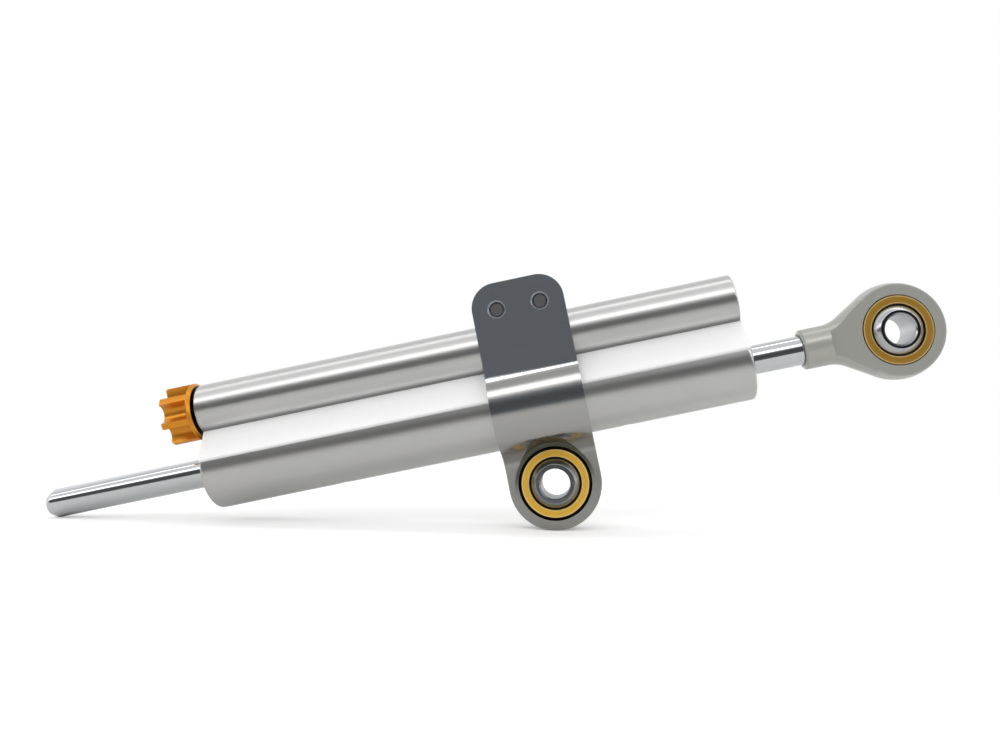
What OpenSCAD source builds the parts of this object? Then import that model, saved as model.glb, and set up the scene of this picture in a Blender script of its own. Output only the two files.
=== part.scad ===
// Linear steering damper for a motorcycle. A rod runs right through an oil cylinder and carries
// a piston. The smaller tube above it holds the metering valve, with its knob, and the oil
// reservoir. A clamp with a spherical bearing holds the body, and the rod ends in an eye with
// another. X runs along the rod towards its eye, Y away from the viewer and Z up to the valve
// tube. The origin is the centre of the clamp's bearing. Sizes are in millimetres.

/* [Body] */
// Length of the body over both ends
body_l = 150.8; // [140:0.2:175]
// Distance from the clamp's bearing to the body's knob end
body_left = 92.8; // [86:0.2:110]
// Outer diameter of the main cylinder
cyl_od = 21; // [20:0.5:24]
// Bore of the main cylinder, in which the piston runs
cyl_bore = 15; // [14:0.5:16]
// Outer diameter of the valve tube
valve_od = 14.5; // [14:0.5:17]
// How far the valve tube stands out beyond the cylinder at the knob's end
valve_step = 0.4; // [0.2:0.1:1.5]
// Distance between the axes of the cylinder and the valve tube
axis_gap = 17.1; // [16.5:0.1:19]
// Angle above level at which the web leaves the cylinder
web_low_angle = 15; // [5:1:30]
// Angle below level at which the web meets the valve tube
web_high_angle = 57; // [45:1:65]
// Radius on the end edges of the cylinder
end_round = 1.2; // [0.4:0.1:1.6]
// Radius on the end edges of the valve tube
valve_round = 0.6; // [0.2:0.1:1]

/* [Rod and stroke] */
// Full travel of the piston
stroke = 60; // [40:1:62]
// How far the rod can still go in from the pose at rest
travel_in = 14; // [5:1:30]
// Diameter of the piston rod
rod_d = 8; // [7:0.5:9]
// Length of rod that stands out at the knob end, at rest
rod_free = 47.7; // [46:0.1:65]
// How much narrower the rod's free end gets, all round
tip_chamfer = 0.9; // [0.2:0.1:2]
// Length over which the rod's free end narrows
tip_taper = 1.8; // [0.5:0.1:3]
// Diameter of the rod's threaded end in the eye
rod_thread_d = 6; // [5:0.5:6]
// Length of the rod's threaded end
rod_thread_l = 10.4; // [8:0.1:11]
// Gap left between the eye's shank and the body when the rod is fully in
shank_stop = 0.8; // [0.5:0.1:3]
// Depth of the counterbore in the shank, in which the rod's shoulder sits
shank_seat = 1.6; // [1:0.1:2.2]
// Chamfer at the mouth of this counterbore
seat_lead = 0.6; // [0.3:0.1:0.8]

/* [Piston] */
// Length of the piston
piston_l = 12; // [8:0.5:14]
// Width of the piston ring
ring_w = 3; // [2:0.5:5]
// Depth of the piston ring's groove
ring_depth = 1.5; // [1:0.1:2]
// Thickness of every retaining ring
clip_t = 1; // [0.8:0.1:1.2]
// Depth of the rod's grooves for the piston's retaining rings
clip_groove = 0.7; // [0.4:0.1:1]
// Width of the band of a retaining ring
clip_band = 1.8; // [1.4:0.1:2]

/* [Seal heads] */
// Step from the cylinder's bore out to the seal head's seat
head_step = 1; // [0.6:0.1:1.2]
// Depth of each seal head below the body's end face
end_recess = 2.5; // [2:0.1:4]
// Diameter of the seal head's nose, which the piston stops against
nose_d = 12; // [11.5:0.1:12.5]
// Length of the seal head's nose
nose_l = 4.5; // [3.5:0.1:6]
// Gap between the piston and the nose at the end of the stroke
stop_gap = 0.5; // [0.2:0.1:1]
// Length of the guide bush
bush_l = 12; // [8:0.5:15]
// Wall of the guide bush
bush_wall = 1; // [0.8:0.1:1.1]
// Outer diameter of the rod seal
seal_d = 13; // [12:0.5:14]
// Width of the rod seal
seal_w = 4; // [3:0.5:5]
// Outer diameter of the wiper
wiper_d = 13; // [12:0.5:14]
// Width of the wiper
wiper_w = 3.5; // [2.5:0.5:4.5]
// Web of metal between the wiper and the rod seal
seal_web = 1.5; // [1:0.1:2.5]

/* [Oil passages] */
// Diameter of the passages from the cylinder up to the valve tube
port_d = 3; // [2:0.1:3.5]
// Diameter of the balls that close the drillings
plug_ball_d = 3.4; // [3.2:0.1:4]
// Depth of these balls below the cylinder's face
plug_sink = 0.2; // [0.1:0.1:0.6]

/* [Clamp] */
// Width of the clamp along the body
clamp_w = 25; // [22:0.5:28]
// Wall of the clamp round the cylinder
clamp_wall = 2.8; // [2.2:0.1:4]
// Thickness of each leg beside the valve tube
leg_t = 3; // [2.4:0.1:4]
// Height of the legs above the clamp screws
leg_over = 7.2; // [7:0.1:10]
// Radius of the legs' top corners
leg_corner = 6.8; // [3:0.1:8]
// Distance from the rod's axis down to the clamp's bearing
lug_drop = 21.8; // [21.6:0.1:28]
// Radius of the hollow between the lug and the round part of the clamp
lug_fillet = 5; // [0.5:0.1:6]
// Radius of the lug round its bearing
lug_r = 12.5; // [11.5:0.1:13.5]
// Radius of the relief round the bearing, at the lug's face
relief_r = 10.9; // [10.2:0.1:11.4]
// Slope of the relief outwards
relief_angle = 20; // [10:1:30]
// Distance between the two clamp screws
screw_pitch = 11.8; // [9:0.1:14]
// Nominal diameter of the clamp screws
screw_d = 4; // [3:0.5:4]
// Height of the screws above the top of the valve tube
screw_lift = 2.45; // [2.4:0.05:4]
// Countersink of the threaded holes, beyond the thread on each side
screw_sink = 0.45; // [0.2:0.05:0.8]
// Depth of the screws' ends below the front leg's face
screw_short = 0.3; // [0.1:0.1:1]

/* [Spherical bearings] */
// Bore of both bearings
ball_bore = 8; // [6:0.5:8.5]
// Diameter of the ball
ball_d = 15.875; // [15.5:0.005:16.2]
// Width of the ball
ball_w = 12; // [11:0.5:12.5]
// Outer diameter of the race
race_od = 19; // [18.5:0.1:19.4]
// Width of the race, the lug and the eye's flats
race_w = 9; // [8:0.1:10]
// Chamfer in the ball's bore
bore_chamfer = 0.5; // [0.2:0.1:0.8]
// Width of the groove cut from each side of the clamp race's edge
clamp_groove = 0.42; // [0.1:0.02:0.6]
// Width of the groove cut from each side of the eye race's edge
eye_groove = 0.12; // [0.05:0.01:0.3]
// Chamfer on the clamp race's inner edge
clamp_lead = 0.7; // [0.1:0.1:1]
// Chamfer on the eye race's inner edge
eye_lead = 0.7; // [0.1:0.1:1]

/* [Rod end] */
// Radius of the eye's turned ball
eye_r = 13.2; // [12.6:0.1:14.5]
// Distance from the shank's end to the eye's centre
shank_l = 25.4; // [23:0.1:30]
// Diameter of the shank
shank_d = 11; // [10:0.5:12]
// Radius of the hollow between the shank and the neck's cone
neck_r = 10; // [6:0.5:14]
// Slope of the neck's cone, from the hollow up to the eye
neck_angle = 31; // [26:1:36]
// Radius of the milled flats about the bearing's axis
flat_r = 18; // [14.8:0.1:19]
// Chamfer on the shank's end
shank_chamfer = 0.5; // [0.2:0.1:1]

/* [Adjuster] */
// Gap between the knob and the body
knob_gap = 0.65; // [0.5:0.05:1.2]
// Outer diameter of the knob
knob_d = 16.2; // [15:0.1:18]
// Length of the knob
knob_l = 8.7; // [8:0.05:12]
// Bevel on the knob's inner edge
knob_bevel = 0.8; // [0.3:0.1:1.5]
// Plain ring between the bevel and the flutes
knob_ring = 0.2; // [0.1:0.1:1.5]
// Number of lobes round the knob
lobes = 7; // [6:1:8]
// Radius of the cutter that makes the flutes
flute_r = 2.6; // [2:0.1:3.3]
// Depth of the flutes below the knob's edge
flute_depth = 3.3; // [1:0.1:3.6]
// Angle of the first lobe above level, towards the viewer
lobe_angle = 31; // [0:1:51]
// Diameter of the valve housing, in the end of the valve tube
housing_d = 11.5; // [11:0.1:12]
// Length of the valve housing
housing_l = 24; // [22:0.5:28]
// Diameter of the spindle
spindle_d = 4.4; // [4:0.1:4.8]
// Diameter of the housing's inner bore, where the collar and guide sit
cavity_d = 8; // [7.5:0.1:8.4]
// Depth from the housing's face to its inner bore
cavity_x = 10; // [8:0.5:12]
// Length of the spindle's collar
collar_l = 2.6; // [1.5:0.1:4]
// Length of the needle's guide
guide_l = 8; // [5:0.5:9]
// Width across the flats of the needle's hexagon
hex_af = 4.4; // [4:0.1:5]
// Diameter of the needle and of its threaded tail
needle_d = 3; // [2:0.1:3.2]
// Bore of the valve's seat
seat_bore = 2.2; // [1.6:0.1:2.4]
// Length of the valve's seat
seat_l = 5; // [3:0.5:8]
// Distance from the passage to the seat
seat_reach = 7; // [5:0.5:10]
// How far the needle stands open at rest
needle_open = 0.8; // [0.75:0.05:1.2]
// Diameter of the detent ball
detent_d = 2.2; // [2.1:0.05:2.4]
// Distance of the detent ball from the spindle's axis
detent_r = 4; // [3.8:0.05:4.1]
// Number of clicks in a turn of the knob
clicks = 14; // [8:2:20]

/* [Reservoir] */
// Diameter of the bore from the valve's seat to the reservoir
gallery_d = 5; // [4:0.5:6]
// Bore of the reservoir
reservoir_d = 10; // [9:0.5:10.5]
// Length of the reservoir, from its floor to the body's end
reservoir_l = 30; // [28:0.5:31]
// Length of the dividing piston
divider_l = 7; // [5:0.5:8]
// Free travel of the dividing piston to each side
divider_travel = 3; // [1:0.5:3]
// Wire of the reservoir's spring
spring_wire = 1; // [0.6:0.1:1.2]
// Turns of the reservoir's spring
spring_turns = 4; // [3:1:5]
// Diameter of the end plug's thread
plug_d = 11; // [10.8:0.1:12]
// Length of the end plug's thread
plug_l = 6; // [4:0.5:7]
// Length of the end plug's plain nose
plug_nose = 4; // [3:0.5:5]
// Depth of the end plug below the body's end face
plug_recess = 0.5; // [0.2:0.1:1]
// Width across the flats of the end plug's socket
plug_hex = 5; // [4:0.5:6]

/* [Fits] */
// Clearance on each side between fixed pieces
fit = 0.02; // [0.01:0.01:0.05]
// Clearance on each side between running pieces
run = 0.04; // [0.02:0.01:0.08]
// Section of the sealing rings
oring_d = 1.5; // [1:0.1:1.8]

/* [Hidden] */
$fn = 64;
over = 1;

// Where the two axes, the body's ends and the chamber lie
rod_z = lug_drop;
valve_z = rod_z + axis_gap;
left_x = -body_left;
valve_left = left_x - valve_step;
right_x = body_l - body_left;
mid_x = (left_x + right_x) / 2;
stack_l = piston_l + 2 * clip_t;
chamber_l = stroke + stack_l + 2 * (nose_l + stop_gap);
chamber_r = mid_x + chamber_l / 2;
chamber_x = mid_x - chamber_l / 2;
port_in = nose_l / 2;
port_left = chamber_x + port_in;
port_right = chamber_r - port_in;
shaving = 3;

// Seal heads, drawn for the eye's end and mirrored for the other
head_d = cyl_bore + 2 * head_step;
head_out = right_x - end_recess;
wiper_x = head_out - wiper_w;
seal_x = wiper_x - seal_web - seal_w;
bush_x = chamber_r - nose_l;
ring_x = (chamber_r + seal_x) / 2;
oring_land = oring_d * 0.8;
oring_groove_w = oring_d * 1.3;
lip_l = 0.8;
lip_wall = 1;

// Circlips: how far one bites into a bore's wall, its gap, and the eyes beside the gap
clip_bite = 0.6;
clip_gap = 1.6;
clip_eye_d = 2.2;
clip_eye_hole = 1;
clip_eye_side = 1.7;
clip_eye_shift = 0.22;

// Edges that are only broken, and the chamfers at threads and pistons
edge = 0.1;
thread_chamfer = 0.5;
piston_chamfer = 0.5;

// Rod and piston at rest
piston_mid = mid_x - stroke / 2 + travel_in;
piston_x = piston_mid - piston_l / 2;
tip_x = left_x - rod_free;
shank_x = right_x + travel_in + shank_stop;
eye_x = shank_x + shank_l;
shoulder_x = shank_x + shank_seat;
rod_clip_r = rod_d / 2 - clip_groove;
thread_relief = 1;
arc_bite = 0.02;

// Clamp
bore_r = cyl_od / 2 + fit;
slot_y = valve_od / 2 + fit;
leg_y = slot_y + leg_t;
bulge_r = bore_r + clamp_wall;
screw_z = valve_z + valve_od / 2 + screw_lift;
leg_top = screw_z + leg_over;
leg_h = leg_top - rod_z;
screw_head_d = screw_d * 1.75;
screw_hole_d = screw_d * 1.1;
screw_tip = screw_d * 0.12;
screw_socket = screw_d * 0.75;

// Adjuster
knob_x = valve_left - knob_gap;
end_play = 0.1;
collar_x = valve_left + cavity_x + end_play;
guide_x = collar_x + collar_l + end_play;
guide_clip_x = guide_x + guide_l;
seat_x = port_left + seat_reach;
tip_r = 0.3;
tip_l = (needle_d / 2 - tip_r) * 2.5;
touch_l = (seat_bore / 2 - tip_r) * 2.5;
needle_tip = seat_x + touch_l - needle_open;
drive_af = spindle_d * 0.8;
drive_l = knob_l * 0.55;
tail_bore_l = cavity_x - 2.5;
knob_screw_d = 2;
knob_head_d = 4.4;
knob_head_l = 1.6;
knob_head_sink = 0.2;
knob_screw_reach = 4;
knob_edge = 0.4;
dimple_r = 0.6;
dimple_depth = 0.3;
spindle_land = 0.4;
spindle_ring_x = valve_left + cavity_x / 2;
housing_ring_x = valve_left + cavity_x + 4;
detent_end = valve_left + cavity_x - 3;
detent_wire = 0.35;
detent_turns = 5;
hex_inset = 1.5;
tail_gap = 2;

// Reservoir
reservoir_x = right_x - reservoir_l;
plug_out = right_x - plug_recess;
plug_x = plug_out - plug_l;
nose_x = plug_x - plug_nose;
divider_floor_gap = 0.5;
divider_x = reservoir_x + divider_travel + divider_floor_gap;
divider_cup = 1.5;
divider_rim = 1;
divider_chamfer = 0.4;
divider_ring_x = divider_x + (divider_l - divider_cup) / 2;
cup_r = reservoir_d / 2 - run - divider_rim;
spring_x = divider_x + divider_l - divider_cup;
spring_r = cup_r - 0.3 - spring_wire / 2;
plug_chamfer = 0.4;
plug_socket = plug_l * 0.6;
plug_ring_x = plug_x - plug_nose / 2;

// A child that is drawn along Z is laid along X, starting at x on the axis at height z
module along_x(x, z) {
    translate([x, 0, z]) rotate([0, 90, 0]) children();
}

module bar(x0, x1, z, d) {
    along_x(x0, z) cylinder(d = d, h = x1 - x0);
}

module tube(x0, x1, z, od, id) {
    difference() {
        bar(x0, x1, z, od);
        bar(x0 - over, x1 + over, z, id);
    }
}

// A round ring of wire or rubber about the X axis
module ring(x, z, mid_r, section) {
    along_x(x, z) rotate_extrude() translate([mid_r, 0]) circle(d = section);
}

// A hexagonal bar along X, of a width across its flats
module hex_bar(x0, x1, z, af) {
    along_x(x0, z) cylinder(d = af / cos(30), h = x1 - x0, $fn = 6);
}

// A round bar with a chamfer at each end
module chamfered_bar(x0, x1, z, d, c0, c1) {
    r = d / 2;
    l = x1 - x0;
    along_x(x0, z) rotate_extrude()
        polygon([[0, 0], [r - c0, 0], [r, c0], [r, l - c1], [r - c1, l], [0, l]]);
}

// A round bar whose end edges are rounded by r
module rounded_bar(x0, x1, z, d, r) {
    l = x1 - x0;
    along_x(x0, z) rotate_extrude() {
        square([d / 2 - r, l]);
        translate([0, r]) square([d / 2, l - 2 * r]);
        translate([d / 2 - r, r]) circle(r = r);
        translate([d / 2 - r, l - r]) circle(r = r);
    }
}

// What is drawn at the eye's end is drawn again at the knob's end
module other_end() {
    translate([mid_x, 0, 0]) mirror([1, 0, 0]) translate([-mid_x, 0, 0]) children();
}

module both_ends() {
    children();
    other_end() children();
}

// A sealing ring between a groove's floor and the wall round it
module seal_ring(x, z, wall_d, depth) {
    ring(x, z, (wall_d - depth) / 2, depth - 2 * fit);
}

module seal_groove(x, z, wall_d, depth) {
    w = oring_groove_w;
    difference() {
        bar(x - w / 2, x + w / 2, z, wall_d + over);
        bar(x - w, x + w, z, wall_d - 2 * depth);
    }
}

// A circlip with an open gap at the bottom and an eye on each side of it. It springs outwards
// into a bore, or inwards onto a shaft
module circlip(x, z, inner_r, outer_r, eyes_inside) {
    eye_mid = eyes_inside ? inner_r + clip_eye_shift : outer_r - clip_eye_shift;
    along_x(x, z) difference() {
        union() {
            difference() {
                cylinder(r = outer_r, h = clip_t);
                translate([0, 0, -over]) cylinder(r = inner_r, h = clip_t + 2 * over);
                translate([0, -clip_gap / 2, -over]) cube([outer_r + over, clip_gap, clip_t + 2 * over]);
            }
            for (s = [-1, 1])
                translate([eye_mid, s * clip_eye_side, 0]) cylinder(d = clip_eye_d, h = clip_t);
        }
        for (s = [-1, 1])
            translate([eye_mid, s * clip_eye_side, -over])
                cylinder(d = clip_eye_hole, h = clip_t + 2 * over);
    }
}

// One unbroken tube wound on a cylinder, swept along points that a formula gives
function coil_point(i, steps, turns, r, l) =
    let (a = 360 * turns * i / steps) [r * cos(a), r * sin(a), l * i / steps];

module coil_spring(x, z, mid_r, wire, turns, l) {
    per_turn = 14;
    sides = 8;
    steps = turns * per_turn;
    rings = [for (i = [0 : steps])
        let (p = coil_point(i, steps, turns, mid_r, l), a = 360 * turns * i / steps)
        for (k = [0 : sides - 1])
            let (b = 360 * k / sides)
            [p[0] + wire / 2 * cos(b) * cos(a), p[1] + wire / 2 * cos(b) * sin(a),
                p[2] + wire / 2 * sin(b)]];
    walls = [for (i = [0 : steps - 1]) for (k = [0 : sides - 1]) for (t = [0, 1])
        let (n = (k + 1) % sides, a = i * sides, b = (i + 1) * sides)
        t == 0 ? [a + k, b + k, b + n] : [a + k, b + n, a + n]];
    first = [for (k = [1 : sides - 2]) [0, k, k + 1]];
    last = [for (k = [1 : sides - 2]) [steps * sides, steps * sides + k + 1, steps * sides + k]];
    along_x(x, z) polyhedron(points = rings, faces = concat(walls, first, last), convexity = 6);
}

// Where the web's flat side meets each tube, as Y and Z, from the angles at which it meets them
function web_low() = [cyl_od / 2 * cos(web_low_angle), cyl_od / 2 * sin(web_low_angle)];
function web_high() = [valve_od / 2 * cos(web_high_angle), axis_gap - valve_od / 2 * sin(web_high_angle)];

module web() {
    low = web_low();
    high = web_high();
    translate([left_x, 0, rod_z]) rotate([90, 0, 90]) linear_extrude(body_l)
        polygon([[-low[0], low[1]], [-high[0], high[1]], [high[0], high[1]], [low[0], low[1]]]);
}

// The flat sides run on into the cylinder and take a shaving off its upper quarters
module web_shavings() {
    low = web_low();
    high = web_high();
    along = high - low;
    out = [along[1], -along[0]] / norm(along) * shaving;
    for (s = [0, 1]) mirror([0, s, 0])
        translate([left_x - over, 0, rod_z]) rotate([90, 0, 90]) linear_extrude(body_l + 2 * over)
            polygon([low, high, high + out, low + out]);
}

// A passage is drilled from below, and a ball closes the hole that the drill left in the wall
module port(x) {
    translate([x, 0, rod_z]) cylinder(d = port_d, h = axis_gap);
    translate([x, 0, rod_z - cyl_od / 2 - over]) cylinder(d = plug_ball_d + 2 * fit, h = cyl_od / 2 + over);
}

module damper_body() {
    color("lightgray") difference() {
        union() {
            difference() {
                rounded_bar(left_x, right_x, rod_z, cyl_od, end_round);
                web_shavings();
            }
            rounded_bar(valve_left, right_x, valve_z, valve_od, valve_round);
            web();
        }
        bar(left_x - over, right_x + over, rod_z, cyl_bore);
        both_ends() {
            bar(chamber_r, right_x + over, rod_z, head_d);
            bar(head_out, head_out + clip_t + 2 * fit, rod_z, head_d + 2 * clip_bite);
        }
        port(port_left);
        port(port_right);
        bar(valve_left - over, valve_left + housing_l + fit, valve_z, housing_d);
        bar(left_x, seat_x + seat_l + fit, valve_z, cavity_d);
        bar(left_x, right_x, valve_z, gallery_d);
        bar(reservoir_x, right_x + over, valve_z, reservoir_d);
        bar(plug_x - fit, right_x + over, valve_z, plug_d);
    }
}

// The lug's flat sides run into the clamp's round part in a hollow
module lug_hollows() {
    out = race_w / 2 + lug_fillet - arc_bite;
    reach = bulge_r + lug_fillet - arc_bite;
    down = -sqrt(reach * reach - out * out);
    inner = (bulge_r - over) / reach;
    for (s = [0, 1]) mirror([s, 0]) translate([0, rod_z]) difference() {
        polygon([[0, down], [out, down], [out * inner, down * inner], [0, down * inner]]);
        translate([out, down]) circle(r = lug_fillet);
    }
}

// Section of the clamp across the body, as Y and Z
module clamp_section() {
    difference() {
        union() {
            translate([0, rod_z]) circle(r = bulge_r);
            translate([-leg_y, rod_z]) square([2 * leg_y, leg_h]);
            translate([-race_w / 2, -lug_r]) square([race_w, lug_r + rod_z]);
            lug_hollows();
        }
        translate([0, rod_z]) circle(r = bore_r);
        translate([-slot_y, rod_z]) square([2 * slot_y, leg_h + over]);
    }
}

// Outline of the clamp from the front, as X and Z
module clamp_outline() {
    half_w = clamp_w / 2;
    circle(r = lug_r);
    translate([-min(half_w, lug_r), 0]) square([2 * min(half_w, lug_r), rod_z]);
    translate([-half_w, rod_z - bulge_r]) square([clamp_w, bulge_r + leg_h - leg_corner]);
    translate([-half_w + leg_corner, rod_z]) square([clamp_w - 2 * leg_corner, leg_h]);
    for (s = [-1, 1])
        translate([s * (half_w - leg_corner), leg_top - leg_corner]) circle(r = leg_corner);
}

// The seat of a race, with a small chamfer at each face
module race_seat(groove) {
    rotate([90, 0, 0]) {
        translate([0, 0, -race_w]) cylinder(d = race_od + 2 * fit, h = 2 * race_w);
        for (s = [0, 1]) mirror([0, 0, s]) translate([0, 0, race_w / 2 - groove])
            cylinder(r1 = race_od / 2, r2 = race_od / 2 + groove + over, h = groove + over);
    }
}

module relief() {
    depth = bulge_r;
    for (s = [0, 1]) mirror([0, s, 0]) rotate([90, 0, 0]) translate([0, 0, race_w / 2])
        cylinder(r1 = relief_r, r2 = relief_r + depth * tan(relief_angle), h = depth);
}

module at_screws() {
    for (s = [-1, 1]) translate([s * screw_pitch / 2, 0, screw_z]) rotate([90, 0, 0]) children();
}

module mounting_clamp() {
    color("dimgray") difference() {
        intersection() {
            translate([-clamp_w, 0, 0]) rotate([90, 0, 90]) linear_extrude(2 * clamp_w) clamp_section();
            translate([0, 2 * leg_y, 0]) rotate([90, 0, 0]) linear_extrude(4 * leg_y) clamp_outline();
        }
        race_seat(clamp_groove);
        relief();
        at_screws() {
            cylinder(d = screw_d + 2 * fit, h = leg_y + over);
            translate([0, 0, leg_y - screw_sink])
                cylinder(r1 = screw_d / 2, r2 = screw_d / 2 + screw_sink + over, h = screw_sink + over);
            translate([0, 0, -leg_y - over]) cylinder(d = screw_hole_d, h = leg_y + over);
        }
    }
}

module clamp_screws() {
    end_y = leg_y - screw_short;
    head_y = -leg_y - screw_d;
    color("gray") at_screws() difference() {
        union() {
            translate([0, 0, head_y]) cylinder(d = screw_head_d, h = screw_d - fit);
            translate([0, 0, -leg_y - edge]) cylinder(d = screw_d, h = leg_y + edge + end_y - screw_tip);
            translate([0, 0, end_y - screw_tip])
                cylinder(r1 = screw_d / 2, r2 = screw_d / 2 - screw_tip, h = screw_tip);
        }
        translate([0, 0, head_y - over])
            cylinder(d = screw_socket / cos(30), h = screw_d / 2 + over, $fn = 6);
    }
}

// Race and ball of a spherical bearing about Y, centred on the origin
module bearing_race(groove, lead) {
    r = race_od / 2;
    h = race_w / 2;
    mouth_r = sqrt(pow(ball_d / 2, 2) - pow(h, 2));
    rotate([90, 0, 0]) rotate_extrude() difference() {
        polygon([[mouth_r - over, -h], [r - groove, -h], [r, groove - h],
            [r, h - groove], [r - groove, h], [mouth_r - over, h]]);
        circle(d = ball_d + 2 * fit);
        for (s = [-1, 1]) polygon([[0, s * (h + over)], [0, s * (h - lead)],
            [mouth_r, s * (h - lead)], [mouth_r + lead + over, s * (h + over)]]);
    }
}

module bearing_ball() {
    h = ball_w / 2;
    r = ball_bore / 2;
    rotate([90, 0, 0]) rotate_extrude() difference() {
        intersection() {
            circle(d = ball_d);
            translate([r, -h]) square([ball_d, ball_w]);
        }
        for (s = [-1, 1]) polygon([[0, s * (h + over)], [0, s * (h - bore_chamfer)],
            [r, s * (h - bore_chamfer)], [r + bore_chamfer + over, s * (h + over)]]);
    }
}

module clamp_bearing_race() {
    color("goldenrod") bearing_race(clamp_groove, clamp_lead);
}

module clamp_ball() {
    color("silver") bearing_ball();
}

module rod_end_race() {
    color("darkgoldenrod") translate([eye_x, 0, rod_z]) bearing_race(eye_groove, eye_lead);
}

module rod_end_ball() {
    color("silver") translate([eye_x, 0, rod_z]) bearing_ball();
}

// The head seals the chamber, guides the rod and stops the piston with its nose
module seal_head() {
    color("silver") difference() {
        union() {
            bar(chamber_r + fit, head_out, rod_z, head_d - 2 * fit);
            bar(chamber_r - nose_l, chamber_r + over, rod_z, nose_d);
        }
        bar(bush_x - over, head_out + over, rod_z, rod_d + 4 * run);
        bar(bush_x - over, bush_x + bush_l, rod_z, rod_d + 2 * bush_wall);
        bar(seal_x, seal_x + seal_w, rod_z, seal_d);
        bar(wiper_x, head_out + over, rod_z, wiper_d);
        seal_groove(ring_x, rod_z, head_d, oring_land);
    }
}

module left_seal_head() {
    other_end() seal_head();
}

module right_seal_head() {
    seal_head();
}

module guide_bushes() {
    color("peru") both_ends()
        tube(bush_x, bush_x + bush_l - fit, rod_z, rod_d + 2 * bush_wall - 2 * fit, rod_d + 2 * run);
}

module rod_seals() {
    color("darkslategray") both_ends()
        tube(seal_x + fit, seal_x + seal_w - fit, rod_z, seal_d - 2 * fit, rod_d + 2 * fit);
}

// The wiper has a lip that stands out along the rod
module wiper_seals() {
    color("black") both_ends() {
        tube(wiper_x + fit, head_out - fit, rod_z, wiper_d - 2 * fit, rod_d + 2 * fit);
        tube(head_out - 2 * fit, head_out + lip_l, rod_z, rod_d + 2 * lip_wall, rod_d + 2 * fit);
    }
}

module head_seal_rings() {
    color("black") both_ends() seal_ring(ring_x, rod_z, head_d, oring_land);
}

module head_circlips() {
    color("dimgray") both_ends()
        circlip(head_out + fit, rod_z, head_d / 2 - clip_band, head_d / 2 + clip_bite - fit, true);
}

module passage_plugs() {
    color("silver") for (x = [port_left, port_right])
        translate([x, 0, rod_z - cyl_od / 2 + plug_sink + plug_ball_d / 2]) sphere(d = plug_ball_d);
}

module piston_rod() {
    r = rod_d / 2;
    l = shoulder_x - fit - tip_x;
    color("gainsboro") difference() {
        union() {
            along_x(tip_x, rod_z) rotate_extrude()
                polygon([[0, 0], [r - tip_chamfer, 0], [r, tip_taper], [r, l - edge], [r - edge, l], [0, l]]);
            chamfered_bar(shoulder_x - over, shoulder_x + rod_thread_l, rod_z, rod_thread_d,
                edge, thread_chamfer);
        }
        for (x = [piston_x - clip_t, piston_x + piston_l]) difference() {
            bar(x - fit, x + clip_t + fit, rod_z, rod_d + over);
            bar(x - over, x + clip_t + over, rod_z, 2 * rod_clip_r);
        }
    }
}

module piston() {
    ring_left = piston_mid - ring_w / 2;
    color("burlywood") difference() {
        chamfered_bar(piston_x + fit, piston_x + piston_l - fit, rod_z, cyl_bore - 4 * run,
            piston_chamfer, piston_chamfer);
        bar(piston_x - over, piston_x + piston_l + over, rod_z, rod_d + 2 * fit);
        difference() {
            bar(ring_left, ring_left + ring_w, rod_z, cyl_bore + over);
            bar(ring_left - over, ring_left + ring_w + over, rod_z, cyl_bore - 2 * ring_depth);
        }
    }
}

module piston_ring() {
    half = ring_w / 2 - fit;
    color("saddlebrown") tube(piston_mid - half, piston_mid + half, rod_z,
        cyl_bore - 2 * run, cyl_bore - 2 * ring_depth + 2 * fit);
}

module piston_circlips() {
    outer_r = rod_clip_r + clip_band;
    color("dimgray") {
        circlip(piston_x - clip_t, rod_z, rod_clip_r + fit, outer_r, false);
        circlip(piston_x + piston_l, rod_z, rod_clip_r + fit, outer_r, false);
    }
}

// A cone runs from the eye's ball down to a hollow arc, which meets the shank. The arc cuts a hair
// into cone and shank, and the cone a hair into the ball, so that each meets the next cleanly
module rod_end_neck() {
    side = [cos(neck_angle), -sin(neck_angle)];
    cone_r = eye_r - arc_bite;
    up = shank_d / 2 + neck_r - arc_bite;
    back = (up * side[0] - cone_r - neck_r + arc_bite) / side[1];
    foot = [up, -back] - (neck_r - arc_bite) * side;
    top = cone_r * side;
    translate([eye_x, 0, rod_z]) rotate([0, 90, 0]) rotate_extrude() difference() {
        polygon([[0, -back], [up, -back], foot, top, [0, top[1]]]);
        translate([up, -back]) circle(r = neck_r);
    }
    chamfered_bar(shank_x, eye_x - back + over, rod_z, shank_d, shank_chamfer, 0);
}

module rod_end() {
    color("gray") difference() {
        union() {
            difference() {
                rod_end_neck();
                translate([eye_x, 0, rod_z])
                    for (s = [0, 1]) mirror([0, s, 0]) rotate([90, 0, 0]) translate([0, 0, race_w / 2])
                        cylinder(r = flat_r, h = eye_r);
            }
            translate([eye_x, 0, rod_z]) rotate([90, 0, 0]) rotate_extrude() intersection() {
                circle(r = eye_r);
                translate([0, -race_w / 2]) square([eye_r, race_w]);
            }
        }
        translate([eye_x, 0, rod_z]) race_seat(eye_groove);
        bar(shank_x - over, shoulder_x, rod_z, rod_d + 2 * fit);
        along_x(shank_x - over, rod_z)
            cylinder(r1 = rod_d / 2 + seat_lead + over, r2 = rod_d / 2, h = seat_lead + over);
        bar(shank_x, shoulder_x + rod_thread_l + thread_relief, rod_z, rod_thread_d + 2 * fit);
    }
}

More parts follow.
